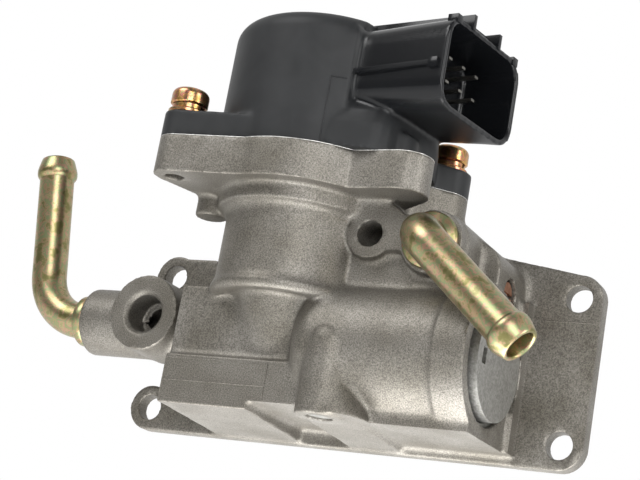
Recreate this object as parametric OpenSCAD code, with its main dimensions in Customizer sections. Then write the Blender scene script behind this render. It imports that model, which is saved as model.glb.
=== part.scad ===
// Idle air control valve: a cast body with a bolting flange, a stepper
// actuator that lifts a cone valve in the vertical neck, and a wax element in
// the horizontal barrel that works a second air valve as the coolant warms.
// The mating face lies on y = 0, with the engine behind it (+Y), the valve
// axis along Z and the flange's hole pattern centred on the origin.

/* [Flange] */
// Hole spacing across the flange
hole_w = 118.8; // [110:0.1:130]
// Hole spacing up the flange
hole_h = 37.4; // [34:0.1:42]
// Diameter of the four bolt holes
hole_d = 7; // [5.5:0.1:8]
// Thickness of the flange plate
flange_t = 4.5; // [4:0.1:7]
// Radius of the lug round each bolt hole
lug_r = 6.2; // [5.5:0.1:7.5]

/* [Head of the casting] */
// Valve axis, left of the flange centre
axis_x = -10; // [-13:0.5:-7]
// Valve axis, in front of the mating face
axis_y = -26.5; // [-30:0.5:-25]
// Height of the joint between casting and actuator
joint_z = 42.8; // [40:0.2:50]
// Thickness of the head plate
head_t = 9.8; // [8:0.1:12]
// How far the head plate stands out past the cover
head_lip = 1.2; // [0.8:0.1:2]
// How far the cover screws stand outside the head plate's rim
ear_reach = 8.1; // [7:0.1:10]
// Radius of the screw ears
ear_r = 6.4; // [5.6:0.1:7.5]

/* [Neck] */
// Outer radius of the neck
neck_r = 19.6; // [18:0.1:21]
// Radius of the collar under the head plate
collar_r = 22.4; // [21:0.1:24]
// Height of the neck's foot above the flange centre
foot_z = 7; // [6:0.2:9]
// Bore of the neck
neck_bore_r = 15; // [13:0.1:16]

/* [Lower body] */
// Front wall of the lower body, in front of the mating face
wall_y = -34.5; // [-36:0.1:-33]
// How far the blank pad stands proud of the wall
pad_t = 1.5; // [1:0.1:2.5]
// Left side of the lower body
body_left_x = -37; // [-39:0.2:-35]
// Right end of the body
body_right_x = 48; // [47:0.2:50]
// Underside of the body, at its front wall
body_low_z = -22.7; // [-23.5:0.1:-22]
// Draft of the underside towards the flange, in degrees
body_draft = 3; // [2:0.5:3.5]
// Height of the pad
pad_h = 12.8; // [11:0.1:14]

/* [Barrel] */
// Outer radius of the barrel that holds the wax element
barrel_r = 18; // [17.5:0.1:19]
// Barrel axis, in front of the mating face
barrel_y = -23; // [-24:0.2:-22]
// Barrel axis, above the flange centre
barrel_z = -4; // [-5:0.2:-3]
// Bore of the element chamber
chamber_r = 12.5; // [12:0.1:13]
// Right end of the barrel
barrel_end_x = 46.5; // [45:0.2:47.5]
// Radius of the closing plug at the end of the barrel
plug_r = 15.2; // [15:0.1:15.6]
// Thickness of the closing plug, up to its shoulder
plug_t = 4; // [3.5:0.1:5]
// Radius of the disc that stands out of the closing plug
disc_r = 13.9; // [13:0.1:14]
// How far the disc stands out past the end of the barrel
disc_proud = 1.7; // [0.5:0.1:2.5]

/* [Coolant bosses] */
// Coolant passage, in front of the mating face
coolant_y = -13.8; // [-14.2:0.1:-13.7]
// Coolant passage, above the flange centre
coolant_z = 2; // [1:0.2:3]
// Left end of the coolant arm
arm_left_x = -77; // [-80:0.5:-75]
// Radius of the coolant arm
arm_r = 9.2; // [8.6:0.1:9.4]
// Radius of the round port boss on the arm
port_boss_r = 10.3; // [9.5:0.1:11]
// Port boss, left of the flange centre
port_x = -53.4; // [-55:0.2:-52]
// Front face of the port boss
port_face_y = -26; // [-28:0.5:-25]
// Radius of the port's hole
port_r = 5.1; // [4.5:0.1:5.5]
// Depth of the port's hole
port_depth = 8.6; // [7.5:0.1:8.8]
// Right hose boss, right of the flange centre
hose_boss_x = 31.2; // [30:0.2:33]
// Right hose boss, above the flange centre
hose_boss_z = 22.6; // [21.5:0.2:24]
// Front face of the right hose boss
hose_boss_y = -36; // [-38:0.5:-35]

/* [Bracket lug] */
// Lug hole, right of the flange centre
bracket_x = 14.4; // [13.5:0.2:15.5]
// Lug hole, above the flange centre
bracket_z = 24; // [23:0.2:25]
// Radius of the lug hole
bracket_hole_r = 3.4; // [2.6:0.1:3.8]
// Depth of the lug hole
bracket_depth = 14; // [10:0.5:16]

/* [Hose nipples] */
// Outer diameter of the hose tubes
tube_d = 9.9; // [9:0.1:10.5]
// Wall of the hose tubes
tube_wall = 1.2; // [0.8:0.1:1.6]
// Diameter over the bead at each tube's end
bead_d = 11.8; // [11:0.1:12.5]
// Length of the bead with its lead-in
bead_len = 8.5; // [7:0.5:9]
// Bend radius of the left tube, on the centreline
left_bend_r = 15; // [12:0.5:17]
// Length of the left tube between its boss and its bend
left_out = 3.7; // [3:0.1:7]
// Length of the left tube's upright part
left_rise = 35.5; // [30:0.5:40]
// Lean of the left tube's upright part, in degrees
left_lean = 9.5; // [5:0.5:12]
// Bend radius of the right tube, on the centreline
right_bend_r = 8; // [7:0.5:10]
// Length of the right tube between its boss and its bend
right_out = 4.3; // [3:0.1:7]
// Length of the right tube's sloping part
right_run = 34; // [30:0.5:38]
// Slope of the right tube, in degrees
right_fall = 41; // [35:1:45]
// Radius of the collar at the foot of the left tube
left_collar_r = 5.9; // [5.5:0.1:6.5]
// Radius of the collar at the foot of the right tube
right_collar_r = 7.3; // [6.5:0.1:7.8]

/* [Actuator cover] */
// Clearance between the motor and the cover
cover_gap = 1.7; // [1:0.1:2.2]
// Height of the cover above the joint
cover_h = 36; // [34:0.5:40]
// Wall of the cover
cover_wall = 3; // [2:0.1:3.4]
// Thickness of the cover's screw ears
cover_ear_t = 6.8; // [5:0.1:8]
// Turn of the connector towards the front, in degrees
plug_turn = 10; // [0:1:15]
// Distance of the connector mouth from the valve axis
mouth_reach = 48; // [46:0.5:52]
// Height of the connector's middle above the joint
mouth_z = 23; // [21:0.2:24]
// Width of the connector shroud
shroud_w = 29.5; // [27:0.5:31]
// Height of the connector shroud
shroud_h = 21; // [19:0.5:22]
// Wall of the connector shroud
shroud_wall = 1.5; // [1.2:0.1:2]
// Depth of the connector socket
socket_depth = 15; // [12:0.5:18]

/* [Stepper motor] */
// Outer radius of the stator cups
stator_r = 21; // [19:0.1:22]
// Height of each stator cup
stator_h = 11.6; // [9:0.1:12]
// Radius of the rotor magnet
rotor_r = 8.6; // [8:0.1:9.5]
// Gap between rotor and stator poles
rotor_gap = 0.5; // [0.3:0.05:0.8]
// Radius of the valve spindle
spindle_r = 3; // [2.5:0.1:3.5]
// Running clearance of turning and sliding fits
run_gap = 0.05; // [0.02:0.01:0.08]

/* [Screws] */
// Diameter of the cover screws
screw_d = 5; // [4:0.1:6]
// Head diameter of the cover screws
screw_head_d = 9.8; // [8.5:0.1:10.5]
// Head height of the cover screws
screw_head_h = 4.6; // [4:0.1:5.5]

/* [Hidden] */
$fn = 96;

// Colours
cast_alloy = "#96928a";
black_plastic = "#3a3c3c";
zinc_yellow = "#b8a560";
screw_gold = "#a87a50";
steel = "#8f9496";
copper = "#b0623c";
rubber = "#232323";
brass = "#b08d4a";
white_plastic = "#d8d5c8";

// Small cut overlap, so that a cut goes right through a face
eps = 0.01;
// Clearance of fixed parts dropped into their seats
seat_gap = 0.1;

// Head and cover: each stands round the motor with its own clearance
cover_r = stator_r + cover_gap + cover_wall;
head_r = cover_r + head_lip;
screw_ring_r = head_r + ear_reach;
head_z = joint_z - head_t;
ear_angles = [220, 30];
lobe_angle = -20;
bushing_r = screw_d / 2 + 1.5;
collar_h = 3.6;
upper_port_z = (foot_z + head_z) / 2 + 3;
upper_port_r = 6.5;
lower_port_z = -10;
lower_port_r = 5;
lower_bore_r = 6;
// Seal in the joint between casting and cover
seal_d = 2.4;
seal_r = (stator_r + head_r) / 2 - 0.5;

// Cone valve: the seat is a ring pressed into the bottom of the neck bore
seat_h = 4;
neck_floor_z = foot_z + 1.5;
seat_top_z = neck_floor_z + seat_h;
seat_hole_r = 7;
seat_bevel = 1;
// The cone closes on the bevel's inner edge with a hair of clearance
cone_slope = 0.6;
cone_r = 8.6;
cone_tip_r = 5;
cone_low_z = seat_top_z - seat_bevel - (seat_hole_r - 0.25 - cone_tip_r) / cone_slope;
cone_h = (cone_r - cone_tip_r) / cone_slope;
cone_rim = 1.5;
cone_top_z = cone_low_z + cone_h + cone_rim;

// Stepper stack, from its seat in the head upwards
plate_t = 1.6;
motor_seat = 2;
plate_low_z = joint_z - motor_seat;
plate_top_z = plate_low_z + plate_t;
cup_wall = 1.2;
pole_r = rotor_r + rotor_gap;
bobbin_wall = 0.9;
stack_top_z = plate_top_z + 2 * stator_h;
bearing_r = 6;
bearing_bore_r = 4.4;
bearing_h = 2.9;
end_play = 0.3;
nut_r = 5.6;
rotor_low_z = plate_low_z + bearing_h + end_play;
rotor_high_z = stack_top_z - 1.2;
boss_r = 8.8;
cover_ceiling_z = joint_z + cover_h - cover_wall;

// Barrel
plug_low_x = barrel_end_x - 7;
ring_x = plug_low_x + plug_t;
plug_seal_r = 0.75;
plug_groove_depth = 1.5;
plug_groove_w = 1.8;
plug_groove_x = plug_low_x + 1.2;
ring_t = 1.4;
ring_groove_r = plug_r + 1.1;
step_x = 20;
valve_bore_r = 7;
valve_bore_x = 2;
water_r = 3.2;
piston_r = 2;
piston_tip_x = 11.5;
bypass_t = 3;
bypass_web = 1.2;
bypass_rim = 1.8;
bypass_wire_r = 0.45;
bypass_coil_r = valve_bore_r - bypass_rim - bypass_wire_r - 0.35;
bypass_port_x = 5;
bypass_port_r = 2.8;
bypass_port_z = barrel_z - 4;

// Lower body
pad_low_z = body_low_z;
block_right_x = 18;
right_low_z = body_low_z + 0.2;
post_low_z = body_low_z - 0.5;
notch_left_x = axis_x - 1.3;
notch_right_x = 3.3;
notch_rise = 2.2;
post_x = 9.6;
post_y = wall_y - 1.6;
post_r = 6.4;
post_top_z = -5;

// Screws
washer_t = 1.1;
spring_washer_t = 1.5;
screw_len = 16;

// Two points on a polar grid round the valve axis
function polar(r, a) = [r * cos(a), r * sin(a)];

// Things stood on the valve axis
module on_axis() {
    translate([axis_x, axis_y, 0]) children();
}

// A profile drawn in the plane of the flange, run forwards from the mating face
module from_face(y0, y1) {
    translate([0, y1, 0]) rotate([90, 0, 0]) linear_extrude(y1 - y0) children();
}

// A round bar along Y between two depths
module bar_y(x, z, r, y0, y1) {
    translate([x, y1, z]) rotate([90, 0, 0]) cylinder(r = r, h = y1 - y0);
}

// A round bar along X between two places
module bar_x(y, z, r, x0, x1) {
    translate([x0, y, z]) rotate([0, 90, 0]) cylinder(r = r, h = x1 - x0);
}

// A flat tapered link between two circles. Its edges run a hair inside the
// circles, so that they cross them cleanly.
module link2d(p, r1, q, r2) {
    inset = 0.03;
    d = norm(q - p);
    turn = atan2(q[1] - p[1], q[0] - p[0]);
    lean = asin((r1 - r2) / d);
    a = [r1 - inset, r2 - inset];
    translate(p) rotate(turn) polygon([
        [a[0] * sin(lean), a[0] * cos(lean)],
        [d + a[1] * sin(lean), a[1] * cos(lean)],
        [d + a[1] * sin(lean), -a[1] * cos(lean)],
        [a[0] * sin(lean), -a[0] * cos(lean)]]);
    translate(p) circle(r1);
    translate(q) circle(r2);
}

// A ring-shaped solid round Z
module ring(r_out, r_in, h) {
    difference() {
        cylinder(r = r_out, h = h);
        translate([0, 0, -eps]) cylinder(r = r_in, h = h + 2 * eps);
    }
}

// Outline of the flange plate, with its web up to the head
module flange_outline() {
    half_w = hole_w / 2;
    half_h = hole_h / 2;
    low = -half_h - lug_r;
    high = half_h + lug_r;
    for (x = [-half_w, half_w], z = [-half_h, half_h]) translate([x, z]) circle(lug_r);
    translate([-half_w + 3, low]) square([2 * half_w - 3, high - low - 2]);
    translate([half_w - 2 * lug_r, -half_h]) square([3 * lug_r, hole_h]);
    translate([-half_w, low]) square([lug_r, lug_r]);
    translate([-half_w, high - lug_r]) square([2 * lug_r, lug_r - 0.6]);
    polygon([[half_w, high], [half_w - 22, high + 3.8], [25, head_z + 4],
        [25, high - lug_r], [half_w, high - lug_r]]);
    translate([-30, 0]) square([55, head_z + 2]);
}

module flange_plate() {
    half_w = hole_w / 2;
    half_h = hole_h / 2;
    intersection() {
        from_face(-flange_t, 0) flange_outline();
        // The right edge stands square outside the right-hand holes
        translate([-half_w - 2 * lug_r, -flange_t - 1, -half_h - 2 * lug_r])
            cube([2 * half_w + 3 * lug_r, flange_t + 2, joint_z + half_h + 2 * lug_r]);
    }
}

// Plan of the head plate: the round part with its ears and the front lobe
module head_plan(r) {
    circle(r);
    link2d(polar(screw_ring_r, ear_angles[1]), ear_r, polar(screw_ring_r - 21, ear_angles[1]), ear_r + 5);
    link2d(polar(screw_ring_r, ear_angles[0]), ear_r - 0.8, [-19.5, -5], ear_r + 0.3);
    link2d(polar(screw_ring_r, ear_angles[0]), ear_r - 0.8, [-4, -r + 7.4], ear_r);
}

module head_plate() {
    on_axis() translate([0, 0, head_z]) linear_extrude(head_t) {
        head_plan(head_r);
        link2d(polar(screw_ring_r, lobe_angle), ear_r, polar(18, lobe_angle), ear_r + 5);
    }
}

// Neck with its flared collar, foot ridge and the cone that runs down into
// the wall below it
module neck() {
    under_r = 14.2;
    under_low_r = 7.6;
    under_low_z = -9;
    ridge = 0.9;
    on_axis() {
        translate([0, 0, foot_z]) cylinder(r = neck_r, h = head_z - foot_z + 1);
        rotate_extrude() {
            translate([0, head_z - collar_h]) square([collar_r, collar_h]);
            difference() {
                translate([0, head_z - 2 * collar_h]) square([collar_r, collar_h + eps]);
                translate([collar_r, head_z - 2 * collar_h]) scale(1) circle(collar_h * 0.82);
            }
            translate([neck_r - ridge, foot_z + ridge]) circle(2 * ridge);
        }
        translate([0, 0, under_low_z])
            cylinder(r1 = under_low_r, r2 = under_r, h = foot_z - under_low_z + 0.5);
        // Saddle that joins the neck to the flange behind it
        translate([-neck_r + 4, neck_r * 0.4, foot_z]) cube([2 * neck_r - 8, neck_r, head_z - foot_z + 1]);
    }
}

// Barrel with its rounded left end and the end collar
module barrel() {
    left_x = -2;
    round_r = 7;
    collar_x = 38;
    proud = 0.7;
    translate([left_x, barrel_y, barrel_z]) rotate([0, 90, 0]) rotate_extrude() {
        square([barrel_r - round_r, barrel_end_x - left_x]);
        translate([0, round_r]) square([barrel_r, barrel_end_x - left_x - round_r]);
        intersection() {
            translate([barrel_r - round_r, round_r]) circle(round_r);
            square([barrel_r, round_r + eps]);
        }
        translate([0, collar_x - left_x]) square([barrel_r + proud, barrel_end_x - collar_x]);
    }
}

// Box of the lower body with its drafted underside, pad, post and notch
module lower_body() {
    right_wall_y = -8.5;
    front_step = 2.5;
    deep_z = body_low_z - 3.5;
    difference() {
        union() {
            translate([body_left_x, wall_y, deep_z])
                cube([post_x - body_left_x, -wall_y - 1, foot_z + 1.5 - deep_z]);
            translate([post_x - 2, wall_y + front_step, deep_z])
                cube([block_right_x - post_x + 2, -wall_y - front_step - 1, barrel_z - deep_z]);
        }
        // The underside falls towards the flange
        translate([body_left_x - 1, wall_y, body_low_z]) rotate([-body_draft, 0, 0]) translate([0, -5, -10])
            cube([block_right_x - body_left_x + 2, 50, 10]);
        // Notch along the underside
        translate([notch_left_x, wall_y - 1, body_low_z - 5])
            cube([notch_right_x - notch_left_x, -wall_y - flange_t + 1, 5 + notch_rise]);
    }
    // Right-hand part under the barrel, and its end wall beside the flange
    translate([block_right_x - 1, wall_y + front_step, right_low_z])
        cube([barrel_end_x - block_right_x + 1, -wall_y - front_step - 1, barrel_z - right_low_z]);
    translate([block_right_x + 5, right_wall_y, right_low_z])
        cube([body_right_x - block_right_x - 5, -right_wall_y - 1, barrel_z + 20 - right_low_z]);
    // Blank pad, stopped where the notch begins below it
    difference() {
        translate([body_left_x - 0.3, wall_y - pad_t, pad_low_z])
            cube([notch_right_x - body_left_x + 0.3, pad_t + 1, pad_h]);
        translate([notch_left_x, wall_y - pad_t - 1, body_low_z - 5])
            cube([notch_right_x - notch_left_x + 1, pad_t + 3, 5 + notch_rise]);
    }
    // Half-round post that ends in the plugged passage
    translate([post_x, post_y, post_low_z]) cylinder(r = post_r, h = post_top_z - post_low_z);
    translate([post_x, post_y, post_top_z]) sphere(post_r);
    translate([post_x, wall_y + 1, right_low_z]) cube([10, 10, -right_low_z - 6]);
    // Web between the post and the barrel
    translate([post_x, post_y + 6.6, 0]) rotate([90, 0, 0]) linear_extrude(6)
        polygon([[0, right_low_z], [10.5, right_low_z], [3, -8], [0, -8]]);
}

// Arm to the left with the port boss and the hose boss
module coolant_arm() {
    chamfer = 1.5;
    bar_x(coolant_y, coolant_z, arm_r, arm_left_x + chamfer, body_left_x + 5);
    translate([arm_left_x, coolant_y, coolant_z]) rotate([0, 90, 0])
        cylinder(r1 = arm_r - 2, r2 = arm_r, h = chamfer);
    bar_y(port_x, coolant_z + 0.8, port_boss_r, port_face_y, coolant_y + 5);
    // Web from the arm back to the flange
    translate([2 - hole_w / 2, coolant_y, coolant_z - arm_r + 1.5])
        cube([body_left_x + hole_w / 2 + 2, -coolant_y - 1, 2 * arm_r - 3]);
}

// Tower that carries the right hose boss, and its shoulder to the right
module hose_tower() {
    shoulder = [38.2, 19.5];
    shoulder_r = 7;
    shoulder_y = -24;
    tower_r = 8.6;
    from_face(hose_boss_y + 3.5, -1) {
        translate([hose_boss_x, hose_boss_z]) circle(tower_r);
        translate([hose_boss_x - tower_r, barrel_z]) square([2 * tower_r, hose_boss_z - barrel_z]);
    }
    from_face(shoulder_y, -1) {
        link2d([hose_boss_x, hose_boss_z], tower_r - 0.4, shoulder, shoulder_r);
        translate([hose_boss_x, barrel_z])
            square([shoulder[0] + shoulder_r - hose_boss_x, shoulder[1] - barrel_z]);
    }
    bar_y(hose_boss_x, hose_boss_z, 8.1, hose_boss_y, hose_boss_y + 5);
}

// Flat front web with the bracket lug, from the head plate to the hose boss
module bracket_web() {
    web_t = 8;
    lug = 6.3;
    face_y = hose_boss_y;
    from_face(face_y, face_y + web_t) {
        translate([bracket_x, bracket_z]) circle(lug);
        translate([bracket_x - lug + 0.6, bracket_z]) square([8.2, head_z - bracket_z + 1]);
        translate([bracket_x, bracket_z - 4]) square([hose_boss_x - bracket_x, 9.3]);
        polygon([[bracket_x, bracket_z + 5], [bracket_x + 9, bracket_z + 5], [bracket_x + 2, head_z + 1]]);
    }
    from_face(face_y + 3, -3) translate([bracket_x - 5, barrel_z]) square([16, bracket_z - barrel_z + 1]);
}

// Slanted wall from the right-hand ear down to the flange
module ear_wall() {
    ear = [axis_x, axis_y] + polar(screw_ring_r, ear_angles[1]);
    translate([ear[0], ear[1], head_z - 6]) cylinder(r = ear_r - 0.9, h = 8);
    from_face(-flange_t - 4, -1) polygon([[ear[0], head_z + 4], [ear[0] + ear_r - 1, head_z + 4],
        [hole_w / 2 - 22, hole_h / 2 + lug_r + 3.2], [hole_w / 2 - 22, 10], [ear[0], 10]]);
    // Small boss under the left rim of the head
    on_axis() translate([-24, -6.5, head_z - 5.5]) cylinder(r = 4, h = 6);
}

// Passages: the neck bore, the two air ports, the barrel and the coolant ways
module passages() {
    on_axis() {
        translate([0, 0, neck_floor_z]) cylinder(r = neck_bore_r, h = joint_z - neck_floor_z + 1);
        translate([0, 0, lower_port_z]) cylinder(r = lower_bore_r, h = neck_floor_z - lower_port_z);
        // Seat of the motor and groove for the cover seal
        translate([0, 0, plate_low_z]) cylinder(r = stator_r + seat_gap, h = motor_seat + 1);
        translate([0, 0, joint_z - seal_d]) ring(seal_r + seal_d / 2 + 0.1, seal_r - seal_d / 2 - 0.1, seal_d + 1);
    }
    bar_y(axis_x, upper_port_z, upper_port_r, axis_y, 1);
    bar_y(axis_x, lower_port_z, lower_port_r, axis_y, 1);
    // Barrel: valve bore, element chamber and the end bore with its groove
    bar_x(barrel_y, barrel_z, valve_bore_r, valve_bore_x, step_x + eps);
    bar_x(barrel_y, barrel_z, chamber_r, step_x, plug_low_x + eps);
    bar_x(barrel_y, barrel_z, plug_r + seat_gap, plug_low_x, body_right_x + 1);
    bar_x(barrel_y, barrel_z, ring_groove_r + seat_gap, ring_x, ring_x + ring_t + 0.1);
    // Air way between the neck and the barrel, and back to the mating face
    bar_x(barrel_y, barrel_z, 3.5, axis_x, valve_bore_x + eps);
    bar_y(bypass_port_x, bypass_port_z, bypass_port_r, barrel_y, 1);
    // Coolant: in through the arm, out through the right hose boss
    bar_x(coolant_y, coolant_z, water_r, arm_left_x + 10, step_x + 4);
    bar_x(coolant_y, coolant_z, tube_d / 2, arm_left_x - 1, arm_left_x + 11);
    bar_y(port_x, coolant_z + 0.8, water_r, port_face_y + port_depth - 1, coolant_y);
    bar_y(hose_boss_x, hose_boss_z, tube_d / 2, hose_boss_y - 1, hose_boss_y + 9);
    bar_y(hose_boss_x, hose_boss_z, water_r, hose_boss_y, barrel_y + 1);
    translate([hose_boss_x, barrel_y, barrel_z]) cylinder(r = water_r, h = hose_boss_z - barrel_z);
}

// Holes that take fasteners and fittings
module fastener_holes() {
    for (x = [-hole_w / 2, hole_w / 2], z = [-hole_h / 2, hole_h / 2])
        bar_y(x, z, hole_d / 2, -flange_t - 20, 1);
    bar_y(bracket_x, bracket_z, bracket_hole_r, hose_boss_y - 1, hose_boss_y + bracket_depth);
    bar_y(port_x, coolant_z + 0.8, port_r, port_face_y - 1, port_face_y + port_depth);
    translate([port_x, port_face_y - eps, coolant_z + 0.8]) rotate([-90, 0, 0])
        cylinder(r1 = port_r + 1.1, r2 = port_r, h = 1.1);
    for (a = ear_angles) on_axis() translate(concat(polar(screw_ring_r, a), [joint_z - head_t - 20]))
        cylinder(r = screw_d / 2, h = head_t + 21);
    // Drilled passage in the post, closed by a plug
    translate([post_x, post_y, post_low_z - 1]) cylinder(r = plug_hole_r, h = 11);
    // Threaded way of the adjusting screw
    bar_x(adjust_y, adjust_z, adjust_r, adjust_seat_x - adjust_len, body_right_x + 5);
    bar_x(adjust_y, adjust_z, adjust_head_r + 0.8, adjust_seat_x, body_right_x + 5);
}

plug_hole_r = 3.3;
adjust_y = -15;
adjust_z = 15.8;
adjust_r = 2;
adjust_head_r = 3.2;
adjust_seat_x = 40.8;
adjust_len = 12;

module housing() color(cast_alloy) difference() {
    intersection() {
        union() {
            flange_plate();
            head_plate();
            neck();
            barrel();
            lower_body();
            coolant_arm();
            hose_tower();
            bracket_web();
            ear_wall();
        }
        // The back is machined flat on the mating face
        translate([-200, -200, -100]) cube([400, 200, 300]);
    }
    passages();
    fastener_holes();
}

// Moulded cover: dome, ears and the connector with its shroud
module actuator_cover() color(black_plastic) difference() {
    union() {
        on_axis() {
            cover_dome();
            translate([0, 0, joint_z]) linear_extrude(cover_ear_t)
                intersection() {
                    union() {
                        head_plan(cover_r);
                        // Foot of the wall under the connector
                        link2d(polar(27, 3 - 2 * plug_turn), 6.5, polar(12, -plug_turn), 12);
                    }
                    translate([-100, -100]) square([200, 100 - axis_y]);
                }
        }
        connector_body();
    }
    on_axis() {
        difference() {
            translate([0, 0, joint_z - 1]) cylinder(r = cover_r - cover_wall, h = cover_ceiling_z - joint_z + 1);
            // Boss that holds the upper bearing
            translate([0, 0, stack_top_z]) ring(boss_r, bearing_r, cover_ceiling_z - stack_top_z + 1);
        }
        for (a = ear_angles) translate(concat(polar(screw_ring_r, a), [joint_z - 1]))
            cylinder(r = bushing_r + eps, h = cover_ear_t + 2);
    }
    on_connector() along_connector(mouth_reach - socket_depth, mouth_reach + 1)
        shroud_section(-shroud_wall);
}

module cover_dome() {
    edge_r = 5;
    translate([0, 0, joint_z]) rotate_extrude() {
        square([cover_r, cover_h - edge_r]);
        square([cover_r - edge_r, cover_h]);
        intersection() {
            translate([cover_r - edge_r, cover_h - edge_r]) circle(edge_r);
            translate([0, cover_h - edge_r - eps]) square([cover_r, edge_r + eps]);
        }
    }
}

// Things placed along the connector: X runs out of its mouth
module on_connector() {
    on_axis() translate([0, 0, joint_z + mouth_z]) rotate([0, 0, -plug_turn]) children();
}

// Section of the shroud with rounded corners
module shroud_section(grow) {
    w = shroud_w + 2 * grow;
    h = shroud_h + 2 * grow;
    r = 4 + grow;
    for (y = [-w / 2 + r, w / 2 - r], z = [-h / 2 + r, h / 2 - r]) translate([y, z]) circle(r);
    square([w - 2 * r, h], center = true);
    square([w, h - 2 * r], center = true);
}

module along_connector(x0, x1) {
    translate([x0, 0, 0]) rotate([90, 0, 90]) linear_extrude(x1 - x0) children();
}

module connector_body() {
    root_x = 12;
    foot_reach = cover_r + 5.3;
    foot_w = 20;
    rail_w = 2;
    on_connector() {
        along_connector(root_x, mouth_reach) shroud_section(0);
        // Latch rails on top
        for (y = [-7, 7]) along_connector(root_x + 6, mouth_reach - 3)
            translate([y - rail_w / 2, shroud_h / 2 - 1]) square([rail_w, 4.2]);
        along_connector(mouth_reach - 9, mouth_reach - 3)
            translate([-8, shroud_h / 2 + 1.2]) square([16, 1.6]);
        // Guide ribs on both sides
        for (y = [-1, 1]) along_connector(root_x, mouth_reach - 2)
            translate([y * shroud_w / 2 - 1, 1.2]) square([2, 2.2]);
        // Wall under the connector, down into the base
        translate([root_x, -foot_w / 2, 3 - mouth_z])
            cube([foot_reach - root_x, foot_w, mouth_z - shroud_h / 2 + 1]);
    }
}

// Six blade terminals standing in the socket floor
module connector_pins() color(steel) {
    pin = [0.64, 1.5];
    pitch = 6.2;
    on_connector() for (y = [-1, 0, 1], z = [-0.5, 0.5])
        translate([mouth_reach - socket_depth, y * pitch - pin[1] / 2, z * pitch - pin[0] / 2])
            cube([9, pin[1], pin[0]]);
}

// Round rubber ring in its groove, level with the joint
module cover_seal() color(rubber) on_axis()
    translate([0, 0, joint_z - seal_d / 2]) rotate_extrude() translate([seal_r, 0]) circle(seal_d / 2);

// Steel sleeves in the cover's ears
module cover_bushings() color(steel) at_screws()
    translate([0, 0, joint_z]) ring(bushing_r, screw_d / 2 + 0.2, cover_ear_t);

module at_screws() {
    for (a = ear_angles) on_axis() translate(concat(polar(screw_ring_r, a), [0])) children();
}

// A flat and a spring washer under each head
module screw_washers() color(steel) at_screws() translate([0, 0, joint_z + cover_ear_t]) {
    ring(screw_head_d / 2 + 0.2, screw_d / 2 + 0.1, washer_t);
    translate([0, 0, washer_t]) ring(screw_head_d / 2 - 0.6, screw_d / 2 + 0.1, spring_washer_t);
}

// Pan head screws
module cover_screws() color(screw_gold) at_screws() {
    head_z0 = joint_z + cover_ear_t + washer_t + spring_washer_t;
    head_r = screw_head_d / 2;
    crown = 1.6;
    translate([0, 0, head_z0]) rotate_extrude() {
        square([head_r, screw_head_h - crown]);
        square([head_r - crown, screw_head_h]);
        intersection() {
            translate([head_r - crown, screw_head_h - crown]) circle(crown);
            translate([0, screw_head_h - crown - eps]) square([head_r, crown + eps]);
        }
    }
    translate([0, 0, head_z0 - screw_len]) cylinder(r = screw_d / 2, h = screw_len + eps);
}

// Steel plate that closes the motor towards the valve
module motor_end_plate() color(steel) on_axis() translate([0, 0, plate_low_z]) difference() {
    cylinder(r = stator_r, h = plate_t);
    translate([0, 0, -1]) cylinder(r = bearing_r, h = plate_t + 2);
}

// Stator cup: outer wall, end plate and the slotted ring of poles round the rotor
module stator_cup(z) {
    pole_count = 12;
    slot_w = 1.8;
    on_axis() translate([0, 0, z]) difference() {
        cylinder(r = stator_r, h = stator_h);
        translate([0, 0, cup_wall]) ring(stator_r - cup_wall, pole_r + cup_wall, stator_h);
        translate([0, 0, -1]) cylinder(r = pole_r, h = stator_h + 2);
        for (i = [0 : pole_count - 1]) rotate(i * 360 / pole_count)
            translate([0, -slot_w / 2, cup_wall + 0.5]) cube([pole_r + cup_wall + 0.5, slot_w, stator_h]);
    }
}

module stator_cup_lower() color(steel) stator_cup(plate_top_z);

module stator_cup_upper() color(steel) stator_cup(plate_top_z + stator_h);

// Plastic spool of each coil
module bobbin(z) {
    r_in = pole_r + cup_wall + seat_gap;
    r_out = stator_r - cup_wall - seat_gap;
    h = stator_h - cup_wall - 2 * seat_gap;
    on_axis() translate([0, 0, z + cup_wall + seat_gap]) {
        ring(r_in + bobbin_wall, r_in, h);
        ring(r_out, r_in, bobbin_wall);
        translate([0, 0, h - bobbin_wall]) ring(r_out, r_in, bobbin_wall);
    }
}

module bobbin_lower() color(white_plastic) bobbin(plate_top_z);

module bobbin_upper() color(white_plastic) bobbin(plate_top_z + stator_h);

// Copper winding between a spool's cheeks
module coil(z) {
    r_in = pole_r + cup_wall + seat_gap + bobbin_wall;
    r_out = stator_r - cup_wall - 0.8;
    h = stator_h - cup_wall - 2 * seat_gap - 2 * bobbin_wall;
    on_axis() translate([0, 0, z + cup_wall + seat_gap + bobbin_wall]) ring(r_out, r_in, h);
}

module coil_lower() color(copper) coil(plate_top_z);

module coil_upper() color(copper) coil(plate_top_z + stator_h);

// Rotor: ring magnet on a plastic nut that drives the spindle
module rotor_magnet() color(rubber) on_axis() translate([0, 0, rotor_low_z])
    ring(rotor_r, nut_r, rotor_high_z - rotor_low_z);

module rotor_nut() color(white_plastic) on_axis() difference() {
    union() {
        translate([0, 0, rotor_low_z]) cylinder(r = nut_r, h = rotor_high_z - rotor_low_z);
        translate([0, 0, rotor_low_z - 2.7]) cylinder(r = bearing_bore_r - run_gap, h = 3);
        translate([0, 0, rotor_high_z - 0.5]) cylinder(r = bearing_bore_r - run_gap, h = 4.5);
    }
    translate([0, 0, rotor_low_z - 4]) cylinder(r = spindle_r + run_gap, h = rotor_high_z - rotor_low_z + 10);
}

// Plain bearings at both ends of the rotor
module bearing_lower() color(brass) on_axis() translate([0, 0, plate_low_z])
    ring(bearing_r, bearing_bore_r, bearing_h);

module bearing_upper() color(brass) on_axis() translate([0, 0, stack_top_z])
    ring(bearing_r, bearing_bore_r, bearing_h);

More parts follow.
